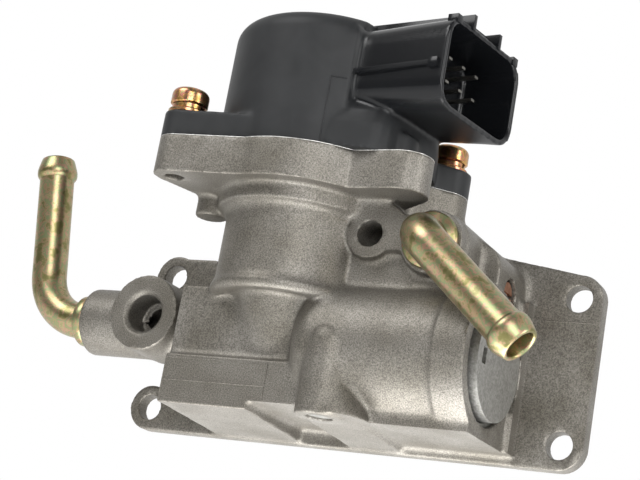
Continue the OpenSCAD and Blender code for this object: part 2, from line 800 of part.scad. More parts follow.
// Lead screw spindle, and the cone that it carries in the neck
module valve_spindle() color(steel) on_axis() translate([0, 0, cone_top_z - 4])
    cylinder(r = spindle_r, h = rotor_high_z - cone_top_z + 6.5);

module valve_cone() color(white_plastic) on_axis() difference() {
    union() {
        translate([0, 0, cone_low_z]) cylinder(r1 = cone_tip_r, r2 = cone_r, h = cone_h);
        translate([0, 0, cone_low_z + cone_h]) cylinder(r = cone_r, h = cone_rim);
    }
    translate([0, 0, cone_top_z - 4]) cylinder(r = spindle_r, h = 5);
}

// Coil spring between the cone and the motor plate
module return_spring() color(steel) on_axis() {
    wire_r = 0.6;
    coil_r = 7;
    turns = 6;
    steps = 16;
    z0 = cone_top_z + wire_r + 0.1;
    z1 = plate_low_z - wire_r - 0.1;
    helix(coil_r, wire_r, z0, z1, turns, steps);
}

// Wire of a coil spring, swept along a helix
module helix(coil_r, wire_r, z0, z1, turns, steps) {
    sides = 8;
    count = turns * steps;
    slope = atan2((z1 - z0) / turns, 2 * PI * coil_r);
    points = [for (i = [0 : count], k = [0 : sides - 1])
        let (a = i * 360 / steps, b = k * 360 / sides, r = coil_r + wire_r * cos(b))
        [r * cos(a) + wire_r * sin(b) * sin(slope) * sin(a),
         r * sin(a) - wire_r * sin(b) * sin(slope) * cos(a),
         z0 + (z1 - z0) * i / count + wire_r * sin(b) * cos(slope)]];
    sides_faces = [for (i = [0 : count - 1], k = [0 : sides - 1])
        let (n = (k + 1) % sides)
        [i * sides + k, i * sides + n, (i + 1) * sides + n, (i + 1) * sides + k]];
    polyhedron(points, concat(sides_faces,
        [[for (k = [sides - 1 : -1 : 0]) k]],
        [[for (k = [0 : sides - 1]) count * sides + k]]), convexity = 4);
}

module valve_seat() color(brass) on_axis() translate([0, 0, neck_floor_z]) difference() {
    cylinder(r = neck_bore_r, h = seat_h);
    translate([0, 0, -1]) cylinder(r = seat_hole_r, h = seat_h + 2);
    translate([0, 0, seat_h - seat_bevel]) cylinder(r1 = seat_hole_r, r2 = seat_hole_r + 1.3, h = seat_bevel + eps);
}

// Bent hose tube: a stub in its seat, a collar against the boss, one bend and
// a straight with a bead at its end. The stub runs along -Z of its own frame,
// the straight along +X.
module hose_tube(seat, out, straight, angle, bend_r, foot_r) {
    r = tube_d / 2;
    foot_t = 1.1;
    difference() {
        union() {
            tube_run(out + seat, straight, angle, bend_r, r, true);
            translate([0, 0, -out]) cylinder(r = foot_r, h = foot_t);
        }
        tube_run(out + seat, straight, angle, bend_r, r - tube_wall, false);
    }
}

// The tube is drawn a hair thinner round the bend than along the straight.
module tube_run(stub, straight, angle, bend_r, r, solid) {
    extra = solid ? 0 : 1;
    thin = 0.05;
    translate([0, 0, -stub - extra]) cylinder(r = r - thin, h = stub + extra);
    translate([bend_r, 0, 0]) rotate([90, 0, 180])
        rotate_extrude(angle = angle) translate([bend_r, 0]) circle(r - thin);
    translate([bend_r, 0, 0]) rotate([0, angle, 0]) translate([-bend_r, 0, 0]) {
        translate([0, 0, -thin]) cylinder(r = r, h = straight + extra + thin);
        if (solid) translate([0, 0, straight - bead_len]) rotate_extrude() polygon([
            [0, 0], [r, 0], [bead_d / 2, 2.2], [bead_d / 2, bead_len - 3.2],
            [r - 0.1, bead_len], [0, bead_len]]);
    }
}

// Left nipple: out of the arm to the left, then up
module left_hose_nipple() color(zinc_yellow) {
    seat = 10;
    translate([arm_left_x - left_out, coolant_y, coolant_z]) rotate([0, -90, 0])
        hose_tube(seat, left_out, left_rise, 90 - left_lean, left_bend_r, left_collar_r);
}

// Right nipple: out of the boss to the front, then down to the right
module right_hose_nipple() color(zinc_yellow) {
    seat = 8;
    translate([hose_boss_x, hose_boss_y - right_out, hose_boss_z])
        rotate([90, 0, 0]) rotate([0, 0, -right_fall])
            hose_tube(seat, right_out, right_run, 90, right_bend_r, right_collar_r);
}

// Wax element: capsule, flange and guide, with its piston
module wax_element() color(brass) translate([0, barrel_y, barrel_z]) rotate([0, 90, 0]) difference() {
    union() {
        translate([0, 0, step_x + 3]) cylinder(r = 7.5, h = plug_low_x - step_x - 3);
        translate([0, 0, step_x]) cylinder(r = chamber_r - seat_gap, h = 3.2);
        translate([0, 0, step_x - 5]) cylinder(r = 4.5, h = 6);
    }
    translate([0, 0, step_x - 6]) cylinder(r = piston_r + run_gap, h = 14);
}

module element_piston() color(steel)
    bar_x(barrel_y, barrel_z, piston_r, piston_tip_x, step_x + 4);

module bypass_valve() color(brass) translate([piston_tip_x, barrel_y, barrel_z]) rotate([0, -90, 0])
    difference() {
        cylinder(r = valve_bore_r - run_gap, h = bypass_t);
        translate([0, 0, bypass_web]) cylinder(r = valve_bore_r - bypass_rim, h = bypass_t);
    }

module bypass_spring() color(steel)
    translate([valve_bore_x, barrel_y, barrel_z]) rotate([0, 90, 0])
        helix(bypass_coil_r, bypass_wire_r, 0.5, piston_tip_x - bypass_web - valve_bore_x - 0.5, 4, 16);

// Plug that closes the barrel: a shoulder under the snap ring, a disc that
// stands out of the barrel with a notch in it, and a groove for the seal
module barrel_plug() color(steel) translate([plug_low_x, barrel_y, barrel_z]) rotate([0, 90, 0])
    difference() {
        union() {
            cylinder(r = plug_r, h = plug_t);
            cylinder(r = disc_r, h = barrel_end_x + disc_proud - plug_low_x);
        }
        translate([0, 0, plug_groove_x - plug_low_x])
            ring(plug_r + 1, plug_r - plug_groove_depth, plug_groove_w);
        translate([-2, -disc_r + 3, barrel_end_x - plug_low_x]) cube([4, 2.4, disc_proud + 1]);
    }

module plug_seal() color(rubber)
    translate([plug_groove_x + plug_groove_w / 2, barrel_y, barrel_z]) rotate([0, 90, 0])
        rotate_extrude() translate([plug_r - plug_groove_depth + plug_seal_r + 0.03, 0]) circle(plug_seal_r);

// Open steel ring that holds the plug
module snap_ring() color(steel) translate([ring_x + 0.05, barrel_y, barrel_z]) rotate([0, 90, 0])
    difference() {
        ring(ring_groove_r, disc_r + 0.3, ring_t);
        rotate(100) translate([plug_r - 4, -3, -1]) cube([8, 6, ring_t + 2]);
    }

// Copper-coloured screw that trims the bypass air, with its seal
module adjusting_screw() color(copper) difference() {
    union() {
        bar_x(adjust_y, adjust_z, adjust_r, adjust_seat_x - adjust_len, adjust_seat_x + 1);
        bar_x(adjust_y, adjust_z, adjust_head_r, adjust_seat_x + adjust_seal_t,
            adjust_seat_x + adjust_seal_t + adjust_head_h);
    }
    translate([adjust_seat_x + adjust_seal_t + adjust_head_h - 1.2, adjust_y - 6, adjust_z - 0.5])
        cube([3, 12, 1]);
}

adjust_seal_t = 1;
adjust_head_h = 2.6;

module adjusting_seal() color(rubber) translate([adjust_seat_x, adjust_y, adjust_z]) rotate([0, 90, 0])
    ring(adjust_head_r, adjust_r, adjust_seal_t);

module passage_plug() color(steel) translate([post_x, post_y, post_low_z + 0.6])
    cylinder(r = plug_hole_r, h = 2.4);

housing();
actuator_cover();
connector_pins();
cover_seal();
cover_bushings();
screw_washers();
cover_screws();
motor_end_plate();
stator_cup_lower();
stator_cup_upper();
bobbin_lower();
bobbin_upper();
coil_lower();
coil_upper();
rotor_magnet();
rotor_nut();
bearing_lower();
bearing_upper();
valve_spindle();
valve_cone();
return_spring();
valve_seat();
left_hose_nipple();
right_hose_nipple();
wax_element();
element_piston();
bypass_valve();
bypass_spring();
barrel_plug();
plug_seal();
snap_ring();
adjusting_screw();
adjusting_seal();
passage_plug();
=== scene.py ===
import math
import bmesh
import bpy
import numpy as np
from mathutils import Matrix, Vector
from mathutils.bvhtree import BVHTree


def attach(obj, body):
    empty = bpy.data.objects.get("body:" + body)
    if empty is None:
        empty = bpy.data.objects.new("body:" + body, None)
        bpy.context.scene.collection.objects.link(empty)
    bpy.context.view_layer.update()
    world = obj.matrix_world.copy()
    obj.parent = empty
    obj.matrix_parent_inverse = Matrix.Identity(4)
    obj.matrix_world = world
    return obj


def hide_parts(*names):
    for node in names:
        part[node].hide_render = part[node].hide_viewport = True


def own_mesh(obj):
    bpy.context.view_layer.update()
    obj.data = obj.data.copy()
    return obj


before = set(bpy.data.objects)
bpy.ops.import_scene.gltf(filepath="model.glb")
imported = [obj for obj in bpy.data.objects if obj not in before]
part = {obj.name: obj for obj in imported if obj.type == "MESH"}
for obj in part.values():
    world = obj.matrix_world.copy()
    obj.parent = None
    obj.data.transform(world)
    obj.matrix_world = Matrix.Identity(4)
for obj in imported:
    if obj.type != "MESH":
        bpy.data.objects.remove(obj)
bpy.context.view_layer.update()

scene = bpy.context.scene
MM = 0.001


def put(name, data):
    """A new object in the scene."""
    made = bpy.data.objects.new(name, data)
    scene.collection.objects.link(made)
    return made


# The camera stands low in front of the flange's right half and looks up, as
# the photograph was taken, with the object's top leaning to the right.
LENS_MM, SENSOR_MM = 97.3, 36
EYE = Vector((200.67, -403.41, -90.82)) * MM
LOOK_RIGHT = Vector((0.886689, 0.428900, 0.172710))
LOOK_UP = Vector((-0.035051, -0.310106, 0.950056))
LOOK_BACK = Vector((0.461037, -0.848457, -0.259934))
camera = put("camera", bpy.data.cameras.new("camera"))
camera.data.lens = LENS_MM
camera.data.sensor_width = SENSOR_MM
camera.data.clip_start = 0.01
camera.data.clip_end = 20
facing = Matrix((LOOK_RIGHT, LOOK_UP, LOOK_BACK)).transposed()
camera.matrix_world = Matrix.Translation(EYE) @ facing.to_4x4()
scene.camera = camera

# White studio: an even pale world that the camera sees as white, and a pale
# floor well under the camera.
scene.view_settings.view_transform = "Standard"
FLOOR_Z, FLOOR_HALF = -0.175, 3
MIDDLE = (-0.01, -0.02, 0.02)


def linear(code):
    """An sRGB hex colour as Blender's linear colour."""
    parts = [int(code[i:i + 2], 16) / 255 for i in (1, 3, 5)]
    flat = [c / 12.92 if c <= 0.04045 else ((c + 0.055) / 1.055) ** 2.4 for c in parts]
    return (*flat, 1.0)


def add_node(tree, kind, settings=None, sockets=None):
    """One node with its settings, and a value or a link for each named input."""
    made = tree.nodes.new(kind)
    for key, value in (settings or {}).items():
        setattr(made, key, value)
    for key, value in (sockets or {}).items():
        if isinstance(value, bpy.types.NodeSocket):
            tree.links.new(value, made.inputs[key])
        else:
            made.inputs[key].default_value = value
    return made


world = bpy.data.worlds.new("studio")
scene.world = world
world.use_nodes = True
wt = world.node_tree
wt.nodes.clear()
rays = add_node(wt, "ShaderNodeLightPath")
seen = add_node(wt, "ShaderNodeMath", {"operation": "MAXIMUM"},
                {0: rays.outputs["Is Camera Ray"], 1: rays.outputs["Is Transmission Ray"]})
grey = add_node(wt, "ShaderNodeBackground", {}, {"Color": (0.9, 0.92, 0.95, 1), "Strength": 0.3})
white = add_node(wt, "ShaderNodeBackground", {}, {"Color": (1, 1, 1, 1), "Strength": 1.0})
# Metal shows the white backdrop too, and the dimmer room in front of it.
heading = add_node(wt, "ShaderNodeTexCoord")
split = add_node(wt, "ShaderNodeSeparateXYZ", {}, {0: heading.outputs["Generated"]})
depth = add_node(wt, "ShaderNodeMapRange", {},
                 {"Value": split.outputs["Y"], "From Min": -0.5, "From Max": 0.3, "To Min": 0.25, "To Max": 1.0})
room = add_node(wt, "ShaderNodeBackground", {}, {"Color": (1, 1, 1, 1), "Strength": depth.outputs[0]})
lit = add_node(wt, "ShaderNodeMixShader", {},
               {0: rays.outputs["Is Glossy Ray"], 1: grey.outputs[0], 2: room.outputs[0]})
mixed = add_node(wt, "ShaderNodeMixShader", {}, {0: seen.outputs[0], 1: lit.outputs[0], 2: white.outputs[0]})
add_node(wt, "ShaderNodeOutputWorld", {}, {"Surface": mixed.outputs[0]})


def panel_lamp(name, place, aim, size, watts):
    """A white rectangular lamp at a place, facing a point."""
    lamp = bpy.data.lights.new(name, "AREA")
    lamp.shape = "RECTANGLE"
    lamp.size, lamp.size_y = size
    lamp.energy = watts
    holder = put(name, lamp)
    holder.location = Vector(place)
    holder.rotation_mode = "QUATERNION"
    holder.rotation_quaternion = (Vector(aim) - Vector(place)).to_track_quat("-Z", "Y")


panel_lamp("lamp_left_top", (-0.35, -0.55, 0.6), MIDDLE, (0.45, 0.45), 4.1)
panel_lamp("lamp_right", (0.8, -0.2, 0.2), MIDDLE, (0.3, 0.6), 3.8)
panel_lamp("lamp_front", (0.4, -0.75, 0.25), MIDDLE, (0.4, 0.4), 3.3)
panel_lamp("lamp_under", (0.03, -0.03, -0.168), (0.03, -0.03, 0.0), (0.28, 0.2), 1.1)

floor_mesh = bpy.data.meshes.new("floor")
floor_corners = [(x * FLOOR_HALF, y * FLOOR_HALF, FLOOR_Z) for x, y in ((-1, -1), (1, -1), (1, 1), (-1, 1))]
floor_mesh.from_pydata(floor_corners, [], [(0, 1, 2, 3)])
floor = put("floor", floor_mesh)
pale = bpy.data.materials.new("pale_floor_paper")
pale.use_nodes = True
pt = pale.node_tree
pt.nodes.clear()
paper = add_node(pt, "ShaderNodeBsdfPrincipled", {}, {"Base Color": linear("#f4f4f3"), "Roughness": 0.9})
glow = add_node(pt, "ShaderNodeEmission", {}, {"Color": (1, 1, 1, 1), "Strength": 0.7})
both = add_node(pt, "ShaderNodeAddShader", {}, {0: paper.outputs[0], 1: glow.outputs[0]})
add_node(pt, "ShaderNodeOutputMaterial", {}, {"Surface": both.outputs[0]})
floor_mesh.materials.append(pale)


# The housing is one aluminium die casting, tumbled and left bare. Its walls
# run into each other with small fillets, and the joint faces, bores and hole
# rims are milled or drilled, so they stay crisp.
AXIS_X, AXIS_Y, JOINT_Z = -10.0, -26.5, 42.8
VALVE = (AXIS_X, AXIS_Y)
BARREL_Y, BARREL_Z, BARREL_END = -23.0, -4.0, 46.5
BARREL = (BARREL_Y, BARREL_Z)
POST_X, POST_Y = 9.6, -36.1
SCREW_RING, SCREW_TURNS = 35, (220, 30)
SCREWS = [(AXIS_X + SCREW_RING * math.cos(math.radians(a)), AXIS_Y + SCREW_RING * math.sin(math.radians(a)))
          for a in SCREW_TURNS]
CAST_STEP, CAST_FILLET_PASSES, CAST_EDGE_PASSES, CAST_FACES = 0.5, 26, 2, 190000
SNAP_MM, SOFT_CREASE = 0.8, 48
ENDLESS = 1000.0
# The round cuts: axis, middle across it, a radius just past the wall, and from
# where to where along the axis.
ROUND_CUTS = [
    (2, VALVE, 15.4, 8.2, ENDLESS),  # the valve's room in the neck
    (2, VALVE, 21.5, 33.0, ENDLESS),  # the motor's seat
    (2, VALVE, 6.3, -10.3, 9.0),  # the bore under the valve seat
    (0, BARREL, 16.7, 19.5, ENDLESS),  # the wax element's chamber
    (0, BARREL, 7.3, 1.5, 21.0),  # the bypass valve's bore
    (0, BARREL, 3.9, -10.0, 4.0),  # the bypass passage
    (0, BARREL, 19.5, BARREL_END - 0.2, BARREL_END + 0.2),  # the barrel's end face
    (1, (AXIS_X, 23.0), 6.8, -14.0, ENDLESS),  # the upper air port
    (1, (AXIS_X, -10.0), 5.3, -24.0, ENDLESS),  # the lower air port
    (1, (5.0, -8.0), 3.1, -21.0, ENDLESS),  # the bypass port
    (0, (-13.8, 2.0), 5.3, -ENDLESS, 25.0),  # the coolant passage and its nipple's socket
    (1, (-53.4, 2.8), 10.2, -ENDLESS, -25.8),  # the side port's face
    (1, (-53.4, 2.8), 6.4, -ENDLESS, -13.0),  # the side port
    (1, (14.4, 24.0), 3.8, -ENDLESS, -20.0),  # the bracket's thread
    (1, (31.2, 22.6), 8.0, -ENDLESS, -35.8),  # the right nipple's face
    (1, (31.2, 22.6), 5.3, -ENDLESS, -18.0),  # the right nipple's socket
    (2, (31.2, -23.0), 3.6, -6.0, 24.0),  # the passage down from it
    (2, (POST_X, POST_Y), 3.7, -ENDLESS, -11.0),  # the plugged passage in the post
    (0, (-15.0, 15.8), 4.3, 28.0, ENDLESS),  # the adjusting screw's hole
]
ROUND_CUTS += [(1, (x, z), 3.8, -ENDLESS, ENDLESS) for x in (-59.4, 59.4) for z in (-18.7, 18.7)]
ROUND_CUTS += [(2, at, 2.9, 10.0, ENDLESS) for at in SCREWS]
# The post at the front runs out into the barrel in a slanted skirt: ovals by
# their middle, half width and half depth.
SKIRT = [(12.3, -33.6, -22.6, 9.1, 8.2), (11.2, -34.6, -16.5, 6.9, 6.6),
         (9.6, -36.2, -8.5, 3.4, 4.6), (8.9, -37.2, -4.2, 1.4, 2.4)]


def away(points, axis, centre):
    """Distance in mm of each point from a line along one axis through a centre."""
    across = [k for k in range(3) if k != axis]
    return np.hypot(points[:, across[0]] - centre[0], points[:, across[1]] - centre[1])


def milled(points):
    """The points of the casting on faces and in bores that a tool has cut."""
    x, y, z = points.T
    cut = (y > -0.2) | (z > JOINT_Z - 0.2) | (x > BARREL_END + 1.3)
    for axis, centre, radius, low, high in ROUND_CUTS:
        run = points[:, axis]
        cut |= (away(points, axis, centre) < radius) & (run > low) & (run < high)
    return cut


def solid_copy(name, node):
    """A merged copy of a CAD node's solid, as an object of its own."""
    solid = bmesh.new()
    solid.from_mesh(part[node].data)
    bmesh.ops.remove_doubles(solid, verts=solid.verts, dist=1e-7)
    base = bpy.data.meshes.new(name)
    solid.to_mesh(base)
    solid.free()
    return put(name, base)


def bridge(mesh, rings):
    """Faces between each ring of points and the next."""
    for low, top in zip(rings, rings[1:]):
        for k in range(len(low)):
            m = (k + 1) % len(low)
            mesh.faces.new((low[k], low[m], top[m], top[k]))


def put_solid(name, mesh):
    """A new object from a closed mesh under edit, with its faces turned outwards."""
    bmesh.ops.recalc_face_normals(mesh, faces=mesh.faces)
    data = bpy.data.meshes.new(name)
    mesh.to_mesh(data)
    mesh.free()
    return put(name, data)


def loft(name, rings):
    """A closed solid through rings of equally many points."""
    mesh = bmesh.new()
    rows = [[mesh.verts.new(p) for p in ring] for ring in rings]
    bridge(mesh, rows)
    mesh.faces.new(rows[0])
    mesh.faces.new(rows[-1])
    return put_solid(name, mesh)


def applied(piece):
    """The mesh of a piece with its modifiers carried out."""
    return bpy.data.meshes.new_from_object(piece.evaluated_get(bpy.context.evaluated_depsgraph_get()))


def combine(piece, tools, operation):
    """Join solids to a piece, or cut them out of it, and remove them."""
    for tool in tools:
        step = piece.modifiers.new("step", "BOOLEAN")
        step.operation = operation
        step.solver = "EXACT"
        step.object = tool
        piece.data = applied(piece)
        piece.modifiers.remove(step)
        bpy.data.objects.remove(tool)


def smooth(piece, crease):
    """Shade a piece smooth, up to edges of a crease in degrees."""
    piece.data.shade_smooth()
    piece.data.set_sharp_from_angle(angle=math.radians(crease))


def soften(piece, step_mm, is_cut, fillet_passes, edge_passes, most_faces):
    """Give a solid cast fillets in its corners and worn outer edges. Points
    that is_cut names lie exactly on the solid."""
    solid = bmesh.new()
    solid.from_mesh(piece.data)
    surface = BVHTree.FromBMesh(solid)
    solid.free()
    voxels = piece.modifiers.new("voxels", "REMESH")
    voxels.mode = "VOXEL"
    voxels.voxel_size = step_mm * MM
    fine = applied(piece)
    piece.modifiers.remove(voxels)
    count = len(fine.vertices)
    where = np.empty(count * 3)
    fine.vertices.foreach_get("co", where)
    where = where.reshape(-1, 3)
    ends = np.empty(len(fine.edges) * 2, dtype=np.int64)
    fine.edges.foreach_get("vertices", ends)
    one, two = ends.reshape(-1, 2).T
    neighbours = np.bincount(ends, minlength=count)[:, None]
    fixed = is_cut(where / MM)
    for i in range(count):
        on_solid = surface.find_nearest(where[i], SNAP_MM * MM)[0]
        if on_solid is not None:
            where[i] = on_solid
    # A point is pulled to the middle of its neighbours where the wall is hollow.
    normals = np.empty(count * 3)
    for turn in range(fillet_passes):
        if turn % 4 == 0:
            fine.vertices.foreach_set("co", where.ravel())
            fine.update()
            fine.vertices.foreach_get("normal", normals)
        pull = np.stack([np.bincount(one, where[two, k], count) + np.bincount(two, where[one, k], count)
                         for k in range(3)], axis=1) / neighbours - where
        hollow = (pull * normals.reshape(-1, 3)).sum(axis=1) > 0
        share = np.where(hollow | (turn < edge_passes), 0.5, 0.0)
        share[fixed] = 0
        where += pull * share[:, None]
    fine.vertices.foreach_set("co", where.ravel())
    fine.update()
    piece.data = fine
    thin = piece.modifiers.new("thin", "DECIMATE")
    thin.ratio = min(1.0, most_faces / (2.0 * len(fine.polygons)))
    final = applied(piece)
    piece.modifiers.remove(thin)
    piece.data = final
    smooth(piece, SOFT_CREASE)


def begin_material(name, look):
    """A new material: its tree, its shader and the object coordinates in millimetres."""
    mat = bpy.data.materials.new(name)
    mat.use_nodes = True
    tree = mat.node_tree
    tree.nodes.clear()
    where = add_node(tree, "ShaderNodeTexCoord")
    scaled = add_node(tree, "ShaderNodeMapping", {},
                      {"Vector": where.outputs["Object"], "Scale": (1000, 1000, 1000)})
    shader = add_node(tree, "ShaderNodeBsdfPrincipled", {}, look)
    add_node(tree, "ShaderNodeOutputMaterial", {}, {"Surface": shader.outputs[0]})
    return mat, tree, shader, scaled.outputs[0]


def noise(tree, at, scale, detail, **more):
    """A noise's value at millimetre coordinates."""
    made = add_node(tree, "ShaderNodeTexNoise", {}, {"Vector": at, "Scale": scale, "Detail": detail, **more})
    return made.outputs["Fac"]


def tones(tree, factor, *stops):
    """A colour that follows a factor through (place, hex colour) stops."""
    ramp = add_node(tree, "ShaderNodeValToRGB", {}, {0: factor})
    marks = ramp.color_ramp.elements
    marks[0].position, marks[0].color = stops[0][0], linear(stops[0][1])
    marks[1].position, marks[1].color = stops[-1][0], linear(stops[-1][1])
    for place, code in stops[1:-1]:
        mark = marks.new(place)
        mark.color = linear(code)
    return ramp.outputs[0]


def bump(tree, shader, height, strength, distance_mm):
    """A fine relief on a shader, after a height."""
    relief = add_node(tree, "ShaderNodeBump", {},
                      {"Strength": strength, "Distance": distance_mm * MM, "Height": height})
    tree.links.new(relief.outputs[0], shader.inputs["Normal"])


def paint(piece, mat):
    """Give a piece a material in place of any other."""
    piece.data.materials.clear()
    piece.data.materials.append(mat)


def oval(x, y, z, wide, deep, count=48):
    """A level oval of points round a middle."""
    return [Vector((x + wide * math.cos(k * 2 * math.pi / count),
                    y + deep * math.sin(k * 2 * math.pi / count), z)) * MM for k in range(count)]


cast, ct, cast_shader, at_mm = begin_material("die_cast_aluminium", {"Metallic": 0.75, "Roughness": 0.5})
grit = noise(ct, at_mm, 3.0, 2.0, Roughness=0.7)
cloud = noise(ct, at_mm, 0.07, 4.0)
tone = tones(ct, grit, (0.34, "#5b5852"), (0.66, "#8d8982"))
stain = tones(ct, cloud, (0.35, "#dad8d3"), (0.65, "#ffffff"))
shade = add_node(ct, "ShaderNodeMix", {"data_type": "RGBA", "blend_type": "MULTIPLY"},
                 {0: 1.0, 6: tone, 7: stain})
ct.links.new(shade.outputs[2], cast_shader.inputs["Base Color"])
bump(ct, cast_shader, grit, 0.35, 0.08)

casting = solid_copy("casting", "housing")
skirt = loft("skirt", [oval(*ring) for ring in SKIRT])
post_passage = loft("post_passage", [oval(POST_X, POST_Y, z, 4.2, 4.2) for z in (-30.0, -8.0)])
combine(skirt, [post_passage], "DIFFERENCE")
combine(casting, [skirt], "UNION")
soften(casting, CAST_STEP, milled, CAST_FILLET_PASSES, CAST_EDGE_PASSES, CAST_FACES)
paint(casting, cast)
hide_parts("housing")
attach(casting, "body")


# The insert of the casting die leaves thin raised lines on the blank pad, and
# its halves leave one on the flange. Where the gate was broken off the head's
# front there is a small rough scar.
LINE_R = 0.16
PAD_Y, FLANGE_Y = -36.0, -4.5
PAD_LINES = [[(-36.6, PAD_Y, -10.9), (-7.2, PAD_Y, -10.9), (-7.2, PAD_Y, -20.2)],
             [(-36.9, PAD_Y, -16.8), (-7.2, PAD_Y, -16.6)],
             [(-36.7, PAD_Y, -10.9), (-36.9, PAD_Y, -22.3)]]
FLANGE_LINE = [(48.8, FLANGE_Y, 12.5), (64.1, FLANGE_Y, 12.5)]
GATE_SCAR = [[(-14.2, -53.1, 33.4), (-14.0, -53.15, 34.0), (-12.5, -53.3, 34.15), (-11.2, -53.4, 33.7),
              (-9.0, -53.4, 33.9)],
             [(-11.8, -53.4, 33.5), (-8.2, -53.35, 33.9), (-6.0, -53.1, 33.5), (-2.8, -52.4, 33.75),
              (-2.4, -52.3, 33.2)]]


def ridge_lines(name, paths, radius, mat):
    """Thin round ridges along paths, swept by a node tree and then made plain mesh."""
    points = [Vector(p) * MM for path in paths for p in path]
    joins, first = [], 0
    for path in paths:
        joins += [(first + k, first + k + 1) for k in range(len(path) - 1)]
        first += len(path)
    wire = bpy.data.meshes.new(name)
    wire.from_pydata(points, joins, [])
    piece = put(name, wire)
    tree = bpy.data.node_groups.new(name, "GeometryNodeTree")
    tree.interface.new_socket("Geometry", in_out="INPUT", socket_type="NodeSocketGeometry")
    size = tree.interface.new_socket("Radius", in_out="INPUT", socket_type="NodeSocketFloat")
    tree.interface.new_socket("Geometry", in_out="OUTPUT", socket_type="NodeSocketGeometry")
    given = add_node(tree, "NodeGroupInput")
    path = add_node(tree, "GeometryNodeMeshToCurve", {}, {"Mesh": given.outputs["Geometry"]})
    circle = add_node(tree, "GeometryNodeCurvePrimitiveCircle", {"mode": "RADIUS"},
                      {"Resolution": 8, "Radius": given.outputs["Radius"]})
    swept = add_node(tree, "GeometryNodeCurveToMesh", {},
                     {"Curve": path.outputs[0], "Profile Curve": circle.outputs[0], "Fill Caps": True})
    real = add_node(tree, "GeometryNodeRealizeInstances", {}, {"Geometry": swept.outputs[0]})
    coated = add_node(tree, "GeometryNodeSetMaterial", {}, {"Geometry": real.outputs[0], "Material": mat})
    add_node(tree, "NodeGroupOutput", {}, {"Geometry": coated.outputs[0]})
    sweep = piece.modifiers.new("sweep", "NODES")
    sweep.node_group = tree
    sweep[size.identifier] = radius * MM
    piece.data = applied(piece)
    piece.modifiers.remove(sweep)
    piece.data.shade_smooth()
    return piece


cast_lines = ridge_lines("cast_lines", PAD_LINES + [FLANGE_LINE] + GATE_SCAR, LINE_R, cast)
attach(cast_lines, "body")


# The head's joint face is milled after casting, which leaves a brighter metal edge all round it. The thin bright
# ridge along it is partly that milled metal and partly a painted highlight for the light the edge catches. The ridge
# follows the rim of the CAD head, drawn in a little.
EDGE_HIGHLIGHT_R, RIM_INSET = 0.1, 0.004
MOTOR_SEAT_R, SCREW_EYE_R, BACK_Y = 25, 4, -0.5


def mottled(name, look, stops, scale, detail, relief=None, **more):
    """A material whose colour drifts through stops, with a fine relief if one
    is given as (strength, millimetres)."""
    mat, tree, shader, at = begin_material(name, look)
    drift = noise(tree, at, scale, detail, **more)
    tree.links.new(tones(tree, drift, *stops), shader.inputs["Base Color"])
    if relief:
        bump(tree, shader, drift, *relief)
    return mat


# Bright milled metal. On the thin edge ridge its light colour is also a painted highlight.
milled_highlight_metal = mottled("milled_aluminium_painted_highlight", {"Metallic": 1.0, "Roughness": 0.3},
                 [(0.3, "#b4b2ad"), (0.7, "#e2e1de")], 1.5, 2.0)
head = bmesh.new()
head.from_mesh(part["housing"].data)
bmesh.ops.remove_doubles(head, verts=head.verts, dist=1e-7)
rim = []
for edge in head.edges:
    one, two = (v.co / MM for v in edge.verts)
    steep = sorted(abs(f.normal.z) for f in edge.link_faces)
    level = abs(one.z - JOINT_Z) < 0.01 and abs(two.z - JOINT_Z) < 0.01
    outer = math.hypot(one.x - AXIS_X, one.y - AXIS_Y) > MOTOR_SEAT_R and max(one.y, two.y) < BACK_Y
    screw_hole = min(math.hypot(one.x - x, one.y - y) for x, y in SCREWS) <= SCREW_EYE_R
    if level and outer and not screw_hole and steep[0] < 0.1 and steep[-1] > 0.9:
        rim.append([tuple(v.lerp(Vector((AXIS_X, AXIS_Y, JOINT_Z)), RIM_INSET)) for v in (one, two)])
head.free()
# The ridge carries a painted highlight along the joint's edge.
edge_highlight_ridge = ridge_lines("head_edge_painted_highlight", rim, EDGE_HIGHLIGHT_R, milled_highlight_metal)
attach(edge_highlight_ridge, "body")


# The actuator cover is one black glass-filled moulding. Its dome has a fine
# textured grain and runs in flats to the connector, which is polished, widens
# to its mouth and carries a latch, corner blocks and guide ribs.
COVER_STEP, COVER_FILLET_PASSES, COVER_EDGE_PASSES, COVER_FACES = 0.5, 16, 3, 170000
DOME_R, PLUG_TURN, MOUTH_Z, MOUTH_X = 25.7, math.radians(-10), 23.0, 48.0
ROOM_R, ROOM_TOP, SCREW_SEAT_R = 23.2, 33.2, 4.3
HOLLOW_R, HOLLOW_TOP, HOLLOW_SIDES = 24.3, 33.5, 80
OLD_SHROUD = (19.0, 60.0, -24.0, 24.0, -10.3, 20.0)
COVER_FOOT = 0.05 - MOUTH_Z
ROOT_X, ROOT_HALF, ROOT_Z, ARCH_R = 20.5, 16.8, 7.0, 5
# The apron under the connector in plan, and how narrow it is at each height.
APRON_SIDE = [(14.0, 15.0), (18.0, 19.2), (22.0, 17.6), (25.5, 16.1), (28.0, 14.8), (29.8, 13.4),
              (30.9, 11.7), (31.3, 10.0)]
APRON_LEVELS = [(COVER_FOOT, 1.0), (-16.0, 0.97), (-12.5, 0.9), (-9.0, 0.76)]
# Sections of the shroud and of its socket: distance, width, height, the
# middle's height and the corner's radius.
SHROUD = [(14.0, 30.6, 21.4, -0.3, 5.5), (24.0, 31.0, 21.8, -0.5, 5.5), (44.0, 33.8, 23.6, -1.2, 6.0),
          (MOUTH_X, 34.4, 24.0, -1.4, 6.0)]
SOCKET = [(33.0, 28.6, 19.2, -0.8, 4.2), (44.0, 30.8, 20.6, -1.2, 4.6), (MOUTH_X + 2, 31.6, 21.2, -1.45, 4.6)]
